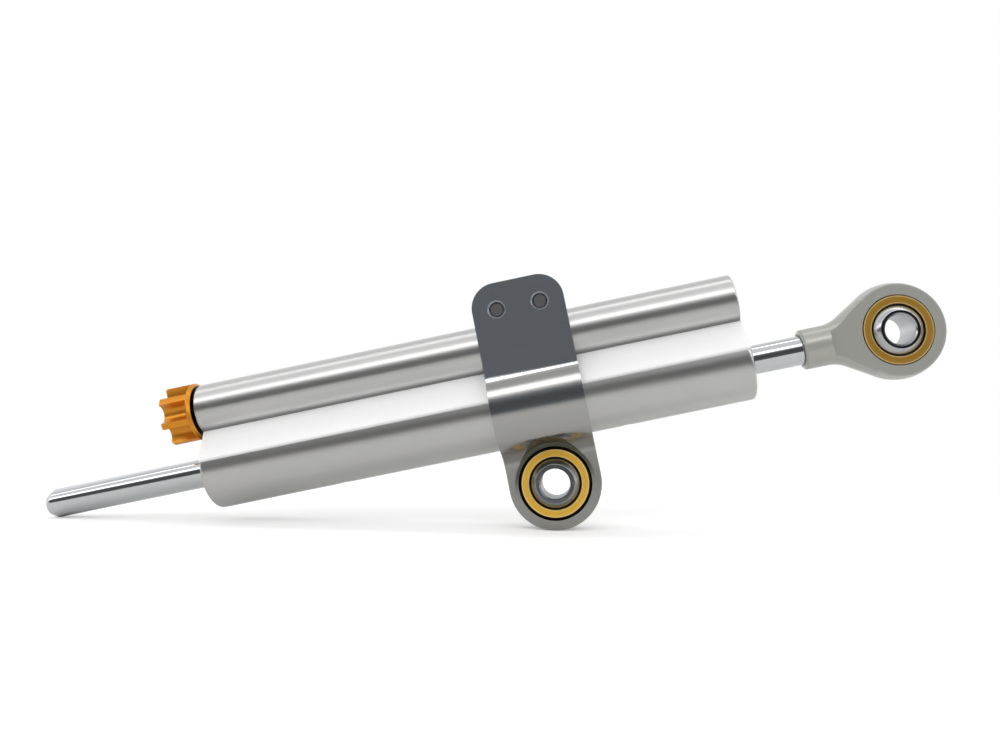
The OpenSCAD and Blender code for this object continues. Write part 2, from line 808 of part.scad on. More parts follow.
// Lobed knob: flutes are cut round a turned blank
module adjuster_knob() {
    flute_x = knob_x - knob_bevel - knob_ring;
    flute_mid = knob_d / 2 - flute_depth + flute_r;
    end_x = knob_x - knob_l;
    color("orange") difference() {
        chamfered_bar(end_x, knob_x, valve_z, knob_d, knob_edge, knob_bevel);
        for (i = [0 : lobes - 1])
            rotate_about_valve(lobe_angle + (i + 0.5) * 360 / lobes) translate([0, -flute_mid, 0])
                bar(end_x - over, flute_x, valve_z, 2 * flute_r);
        hex_bar(knob_x - drive_l, knob_x + over, valve_z, drive_af + 2 * fit);
        bar(end_x - over, knob_x, valve_z, knob_screw_d + 2 * fit);
        bar(end_x - over, end_x + knob_head_l + knob_head_sink, valve_z, knob_head_d + 2 * run);
        for (i = [0 : clicks - 1])
            rotate_about_valve(i * 360 / clicks) translate([0, -detent_r, 0])
                along_x(knob_x - dimple_depth, valve_z)
                    cylinder(r1 = 0, r2 = 2 * dimple_r, h = 2 * dimple_depth);
    }
}

// Turns a child about the valve tube's axis, from the viewer's side upwards
module rotate_about_valve(angle) {
    translate([0, 0, valve_z]) rotate([-angle, 0, 0]) translate([0, 0, -valve_z]) children();
}

module knob_screw() {
    out_x = knob_x - knob_l + knob_head_sink;
    color("dimgray") difference() {
        union() {
            bar(out_x, out_x + knob_head_l - fit, valve_z, knob_head_d);
            bar(out_x, knob_x - drive_l + knob_screw_reach, valve_z, knob_screw_d);
        }
        hex_bar(out_x - over, out_x + knob_head_l * 0.6, valve_z, knob_screw_d * 0.8);
    }
}

module adjuster_spindle() {
    color("silver") difference() {
        union() {
            hex_bar(knob_x - drive_l + fit, knob_x + fit, valve_z, drive_af);
            bar(knob_x + fit, collar_x + fit, valve_z, spindle_d);
            bar(collar_x, collar_x + collar_l, valve_z, cavity_d - 2 * run);
        }
        bar(knob_x - drive_l - over, knob_x - drive_l + knob_screw_reach + edge, valve_z,
            knob_screw_d + 2 * fit);
        bar(collar_x - tail_bore_l, collar_x + collar_l + over, valve_z, needle_d + 2 * run);
        seal_groove(spindle_ring_x, valve_z, spindle_d, spindle_land);
    }
}

module spindle_seal_ring() {
    color("black") seal_ring(spindle_ring_x, valve_z, spindle_d + 2 * run - 2 * fit, spindle_land);
}

module valve_housing() {
    color("silver") difference() {
        bar(valve_left + edge, valve_left + housing_l, valve_z, housing_d - 2 * fit);
        bar(valve_left - over, valve_left + housing_l, valve_z, spindle_d + 2 * run);
        bar(valve_left + cavity_x, valve_left + housing_l + over, valve_z, cavity_d);
        bar(guide_clip_x + fit, guide_clip_x + clip_t + 2 * fit, valve_z, cavity_d + 2 * clip_bite);
        translate([0, -detent_r, 0]) bar(valve_left - over, detent_end, valve_z, detent_d + 2 * run);
        seal_groove(housing_ring_x, valve_z, housing_d, oring_land / 2);
    }
}

module housing_seal_ring() {
    color("black") seal_ring(housing_ring_x, valve_z, housing_d, oring_land / 2);
}

module needle_guide() {
    color("peru") difference() {
        bar(guide_x, guide_x + guide_l, valve_z, cavity_d - 2 * fit);
        hex_bar(guide_x - over, guide_x + guide_l + over, valve_z, hex_af + 2 * run);
    }
}

module guide_circlip() {
    color("dimgray") tube(guide_clip_x + 2 * fit, guide_clip_x + clip_t, valve_z,
        cavity_d + 2 * clip_bite - 2 * fit, cavity_d - clip_band);
}

// The tail is screwed into the spindle, the hexagon keeps it from turning, and the cone meters
module metering_needle() {
    hex_x0 = guide_x + hex_inset;
    hex_x1 = guide_x + guide_l - hex_inset;
    color("silver") {
        bar(collar_x - tail_bore_l + tail_gap, hex_x0 + fit, valve_z, needle_d);
        hex_bar(hex_x0, hex_x1, valve_z, hex_af);
        bar(hex_x1 - fit, needle_tip - tip_l + fit, valve_z, needle_d);
        along_x(needle_tip - tip_l, valve_z) cylinder(r1 = needle_d / 2, r2 = tip_r, h = tip_l);
    }
}

module valve_seat() {
    color("peru") tube(seat_x, seat_x + seat_l, valve_z, cavity_d - 2 * fit, seat_bore);
}

module detent_ball() {
    color("silver") translate([knob_x + fit + detent_d / 2, -detent_r, valve_z]) sphere(d = detent_d);
}

module detent_spring() {
    from = knob_x + fit + detent_d + detent_wire / 2 + fit;
    to = detent_end - detent_wire / 2 - fit;
    color("dimgray") translate([0, -detent_r, 0])
        coil_spring(from, valve_z, (detent_d - detent_wire) / 2, detent_wire, detent_turns, to - from);
}

// The dividing piston keeps the oil apart from the sprung side of the reservoir
module divider_piston() {
    end_x = divider_x + divider_l;
    color("gainsboro") difference() {
        chamfered_bar(divider_x, end_x, valve_z, reservoir_d - 2 * run, divider_chamfer, divider_chamfer);
        bar(spring_x, end_x + over, valve_z, 2 * cup_r);
        seal_groove(divider_ring_x, valve_z, reservoir_d, oring_land);
    }
}

module divider_seal_ring() {
    color("black") seal_ring(divider_ring_x, valve_z, reservoir_d, oring_land);
}

module reservoir_spring() {
    from = spring_x + spring_wire / 2 + fit;
    to = nose_x - spring_wire / 2 - fit;
    color("dimgray") coil_spring(from, valve_z, spring_r, spring_wire, spring_turns, to - from);
}

module end_plug() {
    color("silver") difference() {
        union() {
            chamfered_bar(plug_x, plug_out, valve_z, plug_d - 2 * fit, edge, plug_chamfer);
            bar(nose_x, plug_x + over, valve_z, reservoir_d - 2 * fit);
        }
        hex_bar(plug_out - plug_socket, plug_out + over, valve_z, plug_hex);
        seal_groove(plug_ring_x, valve_z, reservoir_d, oring_land);
    }
}

module plug_seal_ring() {
    color("black") seal_ring(plug_ring_x, valve_z, reservoir_d, oring_land);
}

damper_body();
mounting_clamp();
clamp_screws();
clamp_bearing_race();
clamp_ball();
left_seal_head();
right_seal_head();
guide_bushes();
rod_seals();
wiper_seals();
head_seal_rings();
head_circlips();
passage_plugs();
piston_rod();
piston();
piston_ring();
piston_circlips();
rod_end();
rod_end_race();
rod_end_ball();
adjuster_knob();
knob_screw();
adjuster_spindle();
spindle_seal_ring();
valve_housing();
housing_seal_ring();
needle_guide();
guide_circlip();
metering_needle();
valve_seat();
detent_ball();
detent_spring();
divider_piston();
divider_seal_ring();
reservoir_spring();
end_plug();
plug_seal_ring();
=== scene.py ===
import math

import bmesh
import bpy
from mathutils import Matrix, Vector


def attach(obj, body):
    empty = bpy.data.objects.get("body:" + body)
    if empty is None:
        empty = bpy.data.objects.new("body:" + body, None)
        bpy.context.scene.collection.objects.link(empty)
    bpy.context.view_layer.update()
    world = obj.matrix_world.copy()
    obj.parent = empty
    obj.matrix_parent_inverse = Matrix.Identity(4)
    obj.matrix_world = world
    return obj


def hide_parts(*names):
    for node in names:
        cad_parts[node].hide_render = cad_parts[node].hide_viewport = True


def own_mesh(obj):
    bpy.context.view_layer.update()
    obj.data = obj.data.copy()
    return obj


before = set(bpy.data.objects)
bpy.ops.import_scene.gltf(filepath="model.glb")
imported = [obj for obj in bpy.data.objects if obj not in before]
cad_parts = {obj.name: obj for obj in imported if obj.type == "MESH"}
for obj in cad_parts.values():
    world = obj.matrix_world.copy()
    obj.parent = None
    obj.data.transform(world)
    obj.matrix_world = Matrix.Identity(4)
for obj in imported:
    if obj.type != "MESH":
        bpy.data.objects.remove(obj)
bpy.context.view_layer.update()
millimetre = 0.001


# The table and the light. The damper lies on a white table on the tip of its rod and on the clamp's
# lug, so the table is a little out of square with it. The disc fades out at its rim, and its
# underside is clear, so that it hides nothing in a view from below.
class Value:
    """A number or colour inside a node tree, so that a finish reads as a sum."""

    def __init__(self, tree, socket):
        self.tree = tree
        self.socket = socket

    def maths(self, operation, *others):
        return self.tree.node("ShaderNodeMath", {"operation": operation}, others)

    def __add__(self, other):
        return self.maths("ADD", self, other)

    def __sub__(self, other):
        return self.maths("SUBTRACT", self, other)

    def __rsub__(self, other):
        return self.maths("SUBTRACT", other, self)

    def __mul__(self, other):
        return self.maths("MULTIPLY", self, other)

    def __truediv__(self, other):
        return self.maths("DIVIDE", self, other)

    def __pow__(self, other):
        return self.maths("POWER", self, other)

    __radd__ = __add__
    __rmul__ = __mul__

    def after(self, start, end):
        """0 before start, 1 after end, and a smooth rise between them."""
        return self.tree.node(
            "ShaderNodeMapRange", {"interpolation_type": "SMOOTHSTEP"}, [self, start, end, 0.0, 1.0]
        )

    def band(self, low, high, low_edge, high_edge):
        """1 between low and high, with a smooth edge of the given width inside each of them."""
        return self.after(low, low + low_edge) * (1 - self.after(high - high_edge, high))


class NodeTree:
    """node() adds one node: its settings first, then the values or links of its sockets."""

    def __init__(self, tree):
        self.tree = tree

    def node(self, kind, settings=None, inputs=(), output=0):
        made = self.tree.nodes.new(kind)
        for key, setting in (settings or {}).items():
            if key == "stops":
                stops = [*made.color_ramp.elements]
                stops += [made.color_ramp.elements.new(0.5) for _ in setting[2:]]
                for stop, (position, shade) in zip(stops, setting):
                    stop.position = position
                    stop.color = (shade, shade, shade, 1)
            else:
                setattr(made, key, setting)
        named = inputs.items() if isinstance(inputs, dict) else enumerate(inputs)
        for key, given in named:
            if isinstance(given, Value):
                self.tree.links.new(given.socket, made.inputs[key])
            else:
                made.inputs[key].default_value = given
        return Value(self, made.outputs[output]) if made.outputs else made

    def parts(self, vector):
        """The X, Y and Z of a vector."""
        split = self.node("ShaderNodeSeparateXYZ", {}, [vector])
        return [Value(self, socket) for socket in split.socket.node.outputs]

    def blended(self, share, first, second):
        """A colour between two, by a share from 0 to 1."""
        return self.node("ShaderNodeMix", {"data_type": "RGBA"}, {0: share, 6: first, 7: second}, 2)


class Finish(NodeTree):
    """The nodes of a material or world."""

    def __init__(self, owner):
        owner.use_nodes = True
        owner.node_tree.nodes.clear()
        super().__init__(owner.node_tree)
        self.owner = owner

    def spot(self):
        """The shaded point in its piece, in metres."""
        return self.node("ShaderNodeTexCoord", output=3)

    def place(self):
        """The X, Y and Z of the shaded point in its piece, in millimetres."""
        return [part / millimetre for part in self.parts(self.spot())]


# The camera is fitted to the photograph. Its focal length and centre are in the photograph's pixels.
image_width = 1000
image_height = 750
focal_px = 817.4
centre_px = (545.44, 344.0)
camera_place = Vector((12.445, -226.273, 16.67)) * millimetre
camera_turns = (("Z", 0.034), ("X", 0.093), ("Y", 0.202))
sensor_width = 36

camera_data = bpy.data.cameras.new("camera")
camera_data.sensor_width = sensor_width
camera_data.lens = focal_px / image_width * sensor_width
camera_data.shift_x = (image_width / 2 - centre_px[0]) / image_width
camera_data.shift_y = (centre_px[1] - image_height / 2) / image_width
camera_data.clip_start = 0.01
camera_data.clip_end = 20
camera = bpy.data.objects.new("camera", camera_data)
turn = Matrix.Identity(4)
for axis, angle in camera_turns:
    turn = turn @ Matrix.Rotation(angle, 4, axis)
camera.matrix_world = Matrix.Translation(camera_place) @ turn @ Matrix.Rotation(math.radians(90), 4, "X")
bpy.context.scene.collection.objects.link(camera)
bpy.context.scene.camera = camera

table_tilt = math.radians(12.42)
table_drop = 12.5 * millimetre
table_radius = 0.3
table_normal = Vector((math.sin(table_tilt), 0, math.cos(table_tilt)))
table_mesh = bpy.data.meshes.new("table")
form = bmesh.new()
bmesh.ops.create_circle(form, cap_ends=True, radius=table_radius, segments=96)
form.transform(Matrix.Translation(table_normal * -table_drop) @ Matrix.Rotation(table_tilt, 4, "Y"))
form.to_mesh(table_mesh)
form.free()
table = bpy.data.objects.new("table", table_mesh)
bpy.context.scene.collection.objects.link(table)

# Metal mirrors the table a little darker than it is, and the glow lifts it to white for the camera.
table_white = (0.86, 0.86, 0.86, 1)
table_mirrored = (0.69, 0.685, 0.67, 1)
table_glow = 0.25
fade_start = 0.14
fade_end = 0.29
paper = Finish(bpy.data.materials.new("table_white"))
reach = paper.node("ShaderNodeVectorMath", {"operation": "LENGTH"}, [paper.spot()], output=1)
fade = paper.node("ShaderNodeMapRange", {}, [reach, fade_start, fade_end, 1.0, 0.0])
underside = paper.node("ShaderNodeNewGeometry", output=6)
seen = paper.node("ShaderNodeLightPath")
mirrored = paper.node("ShaderNodeLightPath", output=3)
matt = paper.node("ShaderNodeBsdfDiffuse", {}, [paper.blended(mirrored, table_white, table_mirrored)])
glow = paper.node("ShaderNodeEmission", {}, [(1, 1, 1, 1), seen * table_glow])
lit = paper.node("ShaderNodeAddShader", {}, [matt, glow])
clear = paper.node("ShaderNodeBsdfTransparent")
shown = fade * (1 - underside)
paper.node("ShaderNodeOutputMaterial", {}, [paper.node("ShaderNodeMixShader", {}, [shown, clear, lit])])
table_mesh.materials.append(paper.owner)

# The studio is a tent: two long soft boxes hang over the damper, dark cloth is in front and the wall
# behind is pale. A wide, weak sun from the front fills in what is white or painted, and metal doesn't
# mirror it. The tent's angles are in degrees about the X axis, from the viewer's side upwards.
brightest = 4.0
tent = (
    (-180, 1.05), (-90, 0.8), (-12, 0.7), (-9, 0.09), (16, 0.072), (28, 0.13),
    (36, 1.0), (39, 3.1), (47, 3.1), (51, 0.8), (88, 0.8), (92, 0.9),
    (94, 2.8), (99, 2.8), (101, 0.6), (150, 0.9), (180, 1.05),
)
fill_strength = 0.5
fill_spread = math.radians(70)
fill_height = math.radians(20)

bpy.context.scene.view_settings.view_transform = "Standard"
studio = Finish(bpy.data.worlds.new("studio"))
bpy.context.scene.world = studio.owner
ray = studio.node("ShaderNodeTexCoord")
depth = studio.parts(ray)[1]
up = studio.node("ShaderNodeVectorMath", {"operation": "DOT_PRODUCT"}, [ray, table_normal], output=1)
round_angle = studio.node("ShaderNodeMath", {"operation": "ARCTAN2"}, [up, depth * -1])
shades = studio.node(
    "ShaderNodeValToRGB",
    {"stops": [(angle / 360 + 0.5, light / brightest) for angle, light in tent]},
    [round_angle / (2 * math.pi) + 0.5],
)
sky = studio.node("ShaderNodeBackground", {}, [shades, brightest])
white = studio.node("ShaderNodeBackground", {}, [(1, 1, 1, 1), 1.0])
seen = studio.node("ShaderNodeLightPath")
studio.node("ShaderNodeOutputWorld", {}, [studio.node("ShaderNodeMixShader", {}, [seen, sky, white])])

fill_data = bpy.data.lights.new("fill", "SUN")
fill_data.energy = fill_strength
fill_data.angle = fill_spread
fill_data.specular_factor = 0
fill = bpy.data.objects.new("fill", fill_data)
fill.visible_glossy = False
fill.matrix_world = Matrix.Rotation(math.radians(90) - fill_height, 4, "X")
bpy.context.scene.collection.objects.link(fill)


# The body is one piece of aluminium: the oil cylinder, the valve tube above it and the web between
# them. The tubes are turned and polished along their length, and the web keeps its blasted skin.
sharp_angle = math.radians(28)


def merged_copy(node, piece_name):
    """A copy of a CAD part, merged into one smooth skin."""
    form = bmesh.new()
    form.from_mesh(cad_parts[node].data)
    bmesh.ops.remove_doubles(form, verts=form.verts, dist=1e-7)
    mesh = bpy.data.meshes.new(piece_name)
    form.to_mesh(mesh)
    form.free()
    if "custom_normal" in mesh.attributes:
        mesh.attributes.remove(mesh.attributes["custom_normal"])
    mesh.shade_smooth()
    piece = bpy.data.objects.new(piece_name, mesh)
    bpy.context.scene.collection.objects.link(piece)
    return piece


def break_edges(piece, width, segments=2):
    """Breaks the sharp edges of a piece with a small round, whose width is in millimetres."""
    bevel = piece.modifiers.new("broken edges", "BEVEL")
    bevel.width = width * millimetre
    bevel.segments = segments
    bevel.limit_method = "ANGLE"
    bevel.angle_limit = sharp_angle
    bevel.harden_normals = True


def broken_edges(node, piece_name, width, segments=2):
    """A merged copy of a CAD part with its sharp edges broken."""
    piece = merged_copy(node, piece_name)
    break_edges(piece, width, segments)
    return piece


def dress(piece, body, slot, *nodes):
    """Fixes a piece to the body it moves with, in place of the CAD parts it stands for."""
    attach(piece, body)
    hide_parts(*nodes)


def surface(finish, colour, roughness, relief, relief_height, metallic=1.0):
    """The shader of a finish. The relief's height is in millimetres."""
    bump = finish.node(
        "ShaderNodeBump", {}, {"Strength": 1.0, "Distance": relief_height * millimetre, "Height": relief}
    )
    sockets = {"Base Color": colour, "Roughness": roughness, "Metallic": metallic, "Normal": bump}
    finish.node("ShaderNodeOutputMaterial", {}, [finish.node("ShaderNodeBsdfPrincipled", {}, sockets)])
    return finish.owner


def grain(finish, size, detail=2.0):
    """A noise whose specks have the given size in millimetres along X, Y and Z."""
    per_metre = tuple(1 / (length * millimetre) for length in size)
    scaled = finish.node("ShaderNodeVectorMath", {"operation": "MULTIPLY"}, [finish.spot(), per_metre])
    return finish.node("ShaderNodeTexNoise", {}, {"Vector": scaled, "Scale": 1.0, "Detail": detail})


rod_height = 21.8
valve_height = 38.9
cylinder_radius = 10.5
valve_radius = 7.25
recess_radius = 9.5
# The web's face leaves the cylinder and the valve tube at these angles from level.
web_low_angle = math.radians(15)
web_high_angle = math.radians(57)
web_low = Vector((cylinder_radius * math.cos(web_low_angle), cylinder_radius * math.sin(web_low_angle)))
web_high = Vector((
    valve_radius * math.cos(web_high_angle),
    valve_height - rod_height - valve_radius * math.sin(web_high_angle),
))
web_along = (web_high - web_low).normalized()
polish_deep = (0.60, 0.605, 0.60, 1)
polish_pale = (0.68, 0.68, 0.67, 1)
crevice_shade = (0.10, 0.10, 0.10, 1)
blast_deep = (0.95, 0.95, 0.95, 1)
blast_pale = (1, 1, 1, 1)

body = broken_edges("damper_body", "damper_body_detailed", 0.12)
skin = Finish(bpy.data.materials.new("polished_aluminium"))
_, y, z = skin.place()
out = skin.node("ShaderNodeMath", {"operation": "ABSOLUTE"}, [y])
rise = z - rod_height
from_axis = (rise * rise + y * y) ** 0.5
above_web = (out - web_low.x) * web_along.y - (rise - web_low.y) * web_along.x
web_mask = (
    above_web.band(-0.07, 0.07, 0.05, 0.05)
    * rise.band(web_low.y, web_high.y + 0.05, 1.1, 0.07)
    * from_axis.after(recess_radius - 0.1, recess_radius + 0.1)
)
# Painted shade: a dark band on the valve tube just above the web, in the crevice where they meet.
crevice_shade_mask = rise.band(web_high.y, web_high.y + 1.7, 0.1, 1.4)
lines = grain(skin, (18, 0.12, 0.12))
blast = grain(skin, (0.22, 0.22, 0.22), 4)
cloud = grain(skin, (14, 5, 5))
tone = skin.blended(cloud, polish_deep, polish_pale)
tone = skin.blended(crevice_shade_mask * 0.75, tone, crevice_shade)
tone = skin.blended(web_mask, tone, skin.blended(blast.after(0.35, 0.62), blast_deep, blast_pale))
body.data.materials.append(
    surface(
        skin,
        tone,
        0.27 + lines * 0.08 + web_mask * 0.28,
        lines * 0.12 * (1 - web_mask) + blast * web_mask * 4,
        0.008,
        1 - web_mask * 0.9,
    )
)
dress(body, "root", "body_aluminium", "damper_body")


# The clamp is a bent plate of aluminium with a dull grey skin. Its round part grips the cylinder,
# its two legs stand beside the valve tube, and its lug below holds the bearing.
race_half = 4.5
seat_radius = 9.5
relief_radius = 10.9
relief_slope = math.tan(math.radians(20))
bend_out = 10.27
bend_height = 30.3
bend_round = 0.75
lug_top = 9.2
clamp_centre = (0, 0)
plate_grey = (0.43, 0.475, 0.525, 1)
lug_grey = (0.47, 0.475, 0.455, 1)
round_grey = (0.47, 0.47, 0.455, 1)
upper_painted_shade = (0.28, 0.28, 0.28, 1)
middle_painted_reflection = (0.64, 0.69, 0.75, 1)
crease_shade = (0.30, 0.29, 0.26, 1)
bend_highlight = (0.95, 0.95, 0.95, 1)
relief_shade = (0.19, 0.19, 0.155, 1)
groove_shade = (0.012, 0.012, 0.012, 1)


def at_bend(edge):
    """Whether an edge lies in the corner between a leg of the clamp and its round part."""
    return all(
        abs(abs(v.co.y) / millimetre - bend_out) < 0.1 and abs(v.co.z / millimetre - bend_height) < 0.3
        for v in edge.verts
    )


def radius_from(x, z, centre):
    """The distance from a bearing's axis, which runs along Y through the centre."""
    across = x - centre[0]
    rise = z - centre[1]
    return (across * across + rise * rise) ** 0.5


clamp = broken_edges("mounting_clamp", "mounting_clamp_detailed", 0.28, 3)
form = bmesh.new()
form.from_mesh(clamp.data)
fillet = bmesh.ops.bevel(
    form,
    geom=[edge for edge in form.edges if at_bend(edge)],
    offset=bend_round * millimetre,
    segments=6,
    profile=0.5,
    affect="EDGES",
)["faces"]
for face in fillet:
    for edge in face.edges:
        if any(other not in fillet for other in edge.link_faces):
            edge.smooth = False
form.to_mesh(clamp.data)
form.free()
clamp.data.shade_smooth()

dull = Finish(bpy.data.materials.new("dull_grey_aluminium"))
x, y, z = dull.place()
out = dull.node("ShaderNodeMath", {"operation": "ABSOLUTE"}, [y])
from_bearing = radius_from(x, z, clamp_centre)
# Painted shade: the relief beside the race and the ring of the lug's face round it are painted dark.
past_face = out.after(race_half + 0.03, race_half + 0.12)
cone = (out - race_half) * relief_slope + relief_radius
relief_shade_mask = past_face * (cone - from_bearing).after(-0.12, -0.02)
# Painted shade: the clamp's surface round the race, in its groove, is painted near-black.
groove_shade_mask = 1 - from_bearing.after(seat_radius + 0.4, seat_radius + 0.47)
face_shade_mask = (1 - past_face) * (1 - from_bearing.after(relief_radius - 0.1, relief_radius)) * z.after(-2, 4)
# Painted highlight: a white line along the bend between each leg and the round part.
bend_highlight_mask = z.band(bend_height - 0.45, bend_height + 0.55, 0.25, 0.2)
lug_mask = 1 - z.after(lug_top - 2, lug_top)
round_mask = (1 - z.after(bend_height - 0.7, bend_height + 0.9)) * (1 - lug_mask)
# Painted shade: a darker band on the round part just below the bend.
upper_shade_mask = z.band(bend_height - 3.2, bend_height - 0.5, 1, 0.8)
# Painted reflection: a pale bluish band round the clamp at the rod's height.
middle_reflection_mask = z.band(rod_height - 1.8, rod_height + 3.8, 1.6, 1.6)
# Painted shade: a darker crease where the round part runs into the lug.
crease_shade_mask = z.band(lug_top - 2.7, lug_top + 2.8, 2, 2.5)
speck = grain(dull, (0.12, 0.12, 0.12), 3)
brush = grain(dull, (0.1, 6, 6))
tone = dull.blended(lug_mask, plate_grey, lug_grey)
for mask, colour in (
    (round_mask, round_grey),
    (upper_shade_mask * 0.6, upper_painted_shade),
    (middle_reflection_mask * 0.7, middle_painted_reflection),
    (crease_shade_mask * 0.6, crease_shade),
    (bend_highlight_mask, bend_highlight),
    (relief_shade_mask + face_shade_mask, relief_shade),
    (groove_shade_mask, groove_shade),
):
    tone = dull.blended(mask, tone, colour)
roughness = 0.29 + speck * 0.08 - round_mask * 0.15 - bend_highlight_mask * 0.05
roughness = roughness + crease_shade_mask * 0.42 + relief_shade_mask * 0.2
clamp.data.materials.append(surface(dull, tone, roughness, speck + brush * 0.3, 0.006))
dress(clamp, "root", "clamp_aluminium", "mounting_clamp")


# Two black steel screws draw the clamp's legs together. Their socket heads are at the back, and their
# ends show just below the front leg's face.
black_deep = (0.28, 0.28, 0.285, 1)
black_pale = (0.46, 0.46, 0.46, 1)

screws = broken_edges("clamp_screws", "clamp_screws_detailed", 0.08)
black_steel = Finish(bpy.data.materials.new("blackened_steel"))
spots = grain(black_steel, (0.3, 0.3, 0.3), 3)
tone = black_steel.blended(spots, black_deep, black_pale)
screws.data.materials.append(surface(black_steel, tone, 0.3 + spots * 0.1, spots, 0.006))
dress(screws, "root", "dark_steel", "clamp_screws")


# Both bearings have a turned brass race, pressed into its seat, and a polished steel ball that tilts
# in it. The race's outer edge lies in a narrow groove, in shadow. The groove and the race's mouth are
# painted dark as shade, the race's rims carry a painted highlight, and each ball has painted shade
# at its edge and round its bore.
race_inner = 7.12
turning_pitch = 0.12
rim_highlight = (1.0, 0.82, 0.42, 1)
race_shade = (0.02, 0.012, 0.008, 1)
ball_inner = 4.2
ball_seen = 6.95
chamfer_ring_shade = (0.05, 0.055, 0.07, 1)
ball_edge_shade = (0.045, 0.045, 0.045, 1)
eye_centre = (98.2, rod_height)


def race_finish(name, pale, deep, centre, groove):
    finish = Finish(bpy.data.materials.new(name))
    x, y, z = finish.place()
    radius = radius_from(x, z, centre)
    groove_start = seat_radius - groove
    # Painted shade: the groove round the race and the race's mouth inside its inner edge are painted
    # near-black.
    dark = radius.after(groove_start - 0.02, groove_start + 0.05)
    inner = 1 - radius.after(race_inner - 0.04, race_inner + 0.04)
    # Painted highlight: pale gold lines along the race's outer and inner rims.
    outer_rim_highlight = radius.after(groove_start - 0.34, groove_start - 0.26)
    inner_rim_highlight = 1 - radius.after(race_inner + 0.22, race_inner + 0.3)
    swirl = finish.node("ShaderNodeCombineXYZ", {}, [radius / turning_pitch, y / turning_pitch, 0.0])
    turned = finish.node("ShaderNodeTexNoise", {}, {"Vector": swirl, "Scale": 1.0, "Detail": 2.0})
    tone = finish.blended(turned, deep, pale)
    tone = finish.blended((outer_rim_highlight + inner_rim_highlight) * 0.5, tone, rim_highlight)
    tone = finish.blended(dark + inner, tone, race_shade)
    return surface(finish, tone, 0.26 + turned * 0.12, turned, 0.004, 0.4)


def ball_finish(name, pale, deep, centre, chamfer_shade_share):
    finish = Finish(bpy.data.materials.new(name))
    x, _, z = finish.place()
    radius = radius_from(x, z, centre)
    # Painted shade: the ball turns near-black towards its edge, where it goes into the race.
    dark = radius.after(ball_seen - 0.25, ball_seen)
    bore = 1 - radius.after(ball_inner - 0.15, ball_inner)
    # Painted shade: a dark ring on the ball round its bore, its strength given for each ball.
    ring = radius.band(ball_inner + 0.1, ball_inner + 1.0, 0.1, 0.2)
    haze = grain(finish, (2.5, 2.5, 2.5))
    tone = finish.blended(haze, deep, pale)
    tone = finish.blended(ring * chamfer_shade_share, tone, chamfer_ring_shade)
    tone = finish.blended(dark, tone, ball_edge_shade)
    return surface(finish, tone, 0.17 + haze * 0.07 + bore * 0.2, haze, 0.002)


for node, body_name, slot, pale, deep, centre, groove in (
    ("clamp_bearing_race", "root", "clamp_race_gold",
     (0.89, 0.535, 0.067, 1), (0.8, 0.445, 0.045, 1), clamp_centre, 0.42),
    ("rod_end_race", "rod", "eye_race_gold",
     (0.52, 0.295, 0.043, 1), (0.38, 0.195, 0.023, 1), eye_centre, 0.26),
):
    race = broken_edges(node, node + "_detailed", 0.06)
    race.data.materials.append(race_finish(node + "_gold", pale, deep, centre, groove))
    dress(race, body_name, slot, node)
# Painted shade: the clamp's ball gets darker tones than the eye's ball.
for node, pale, deep, centre, chamfer_shade_share in (
    ("clamp_ball", (0.40, 0.41, 0.42, 1), (0.28, 0.29, 0.305, 1), clamp_centre, 0.6),
    ("rod_end_ball", (0.62, 0.63, 0.64, 1), (0.50, 0.51, 0.53, 1), eye_centre, 0.9),
):
    ball = broken_edges(node, node + "_detailed", 0.1, 3)
    ball.data.materials.append(ball_finish(node + "_steel", pale, deep, centre, chamfer_shade_share))
    dress(ball, node, "ball_chrome", node)


# The rod is steel, ground along its length and hard chromed. It runs through both ends of the
# cylinder, and its free end is turned to a short taper.
chrome_deep = (0.65, 0.675, 0.70, 1)
chrome_pale = (0.73, 0.75, 0.77, 1)

rod = broken_edges("piston_rod", "piston_rod_detailed", 0.12, 3)
chrome = Finish(bpy.data.materials.new("hard_chrome"))
ground = grain(chrome, (0.09, 3, 3))
film = grain(chrome, (9, 3, 3))
tone = chrome.blended(film, chrome_deep, chrome_pale)
rod.data.materials.append(surface(chrome, tone, 0.06 + film * 0.04, ground, 0.0012))
dress(rod, "rod", "rod_chrome", "piston_rod")


# The eye is turned from bar together with its shank, and milled flat on both sides. It is titanium
# grey with a slight gloss, and the turned ball keeps a faintly pebbled skin.
eye_deep = (0.41, 0.41, 0.376, 1)
eye_pale = (0.47, 0.47, 0.432, 1)
eye_rim = (0.50, 0.50, 0.48, 1)
eye_radius = 12.4
shank_end = 92

eye = broken_edges("rod_end", "rod_end_detailed", 0.14, 3)
titanium = Finish(bpy.data.materials.new("titanium_grey"))
x, _, z = titanium.place()
turned_ball = radius_from(x, z, eye_centre).after(eye_radius - 0.5, eye_radius)
rim_mask = turned_ball * x.after(shank_end - 2, shank_end)
pebble = grain(titanium, (0.35, 0.35, 0.35), 3)
fine = grain(titanium, (0.1, 0.1, 0.1), 2)
tone = titanium.blended(fine, eye_deep, eye_pale)
tone = titanium.blended(rim_mask, tone, eye_rim)
roughness = 0.24 + fine * 0.07 + rim_mask * 0.08
relief = fine * 0.4 + pebble * rim_mask * 2
eye.data.materials.append(surface(titanium, tone, roughness, relief, 0.008, 0.3))
dress(eye, "rod", "rod_end_grey", "rod_end")


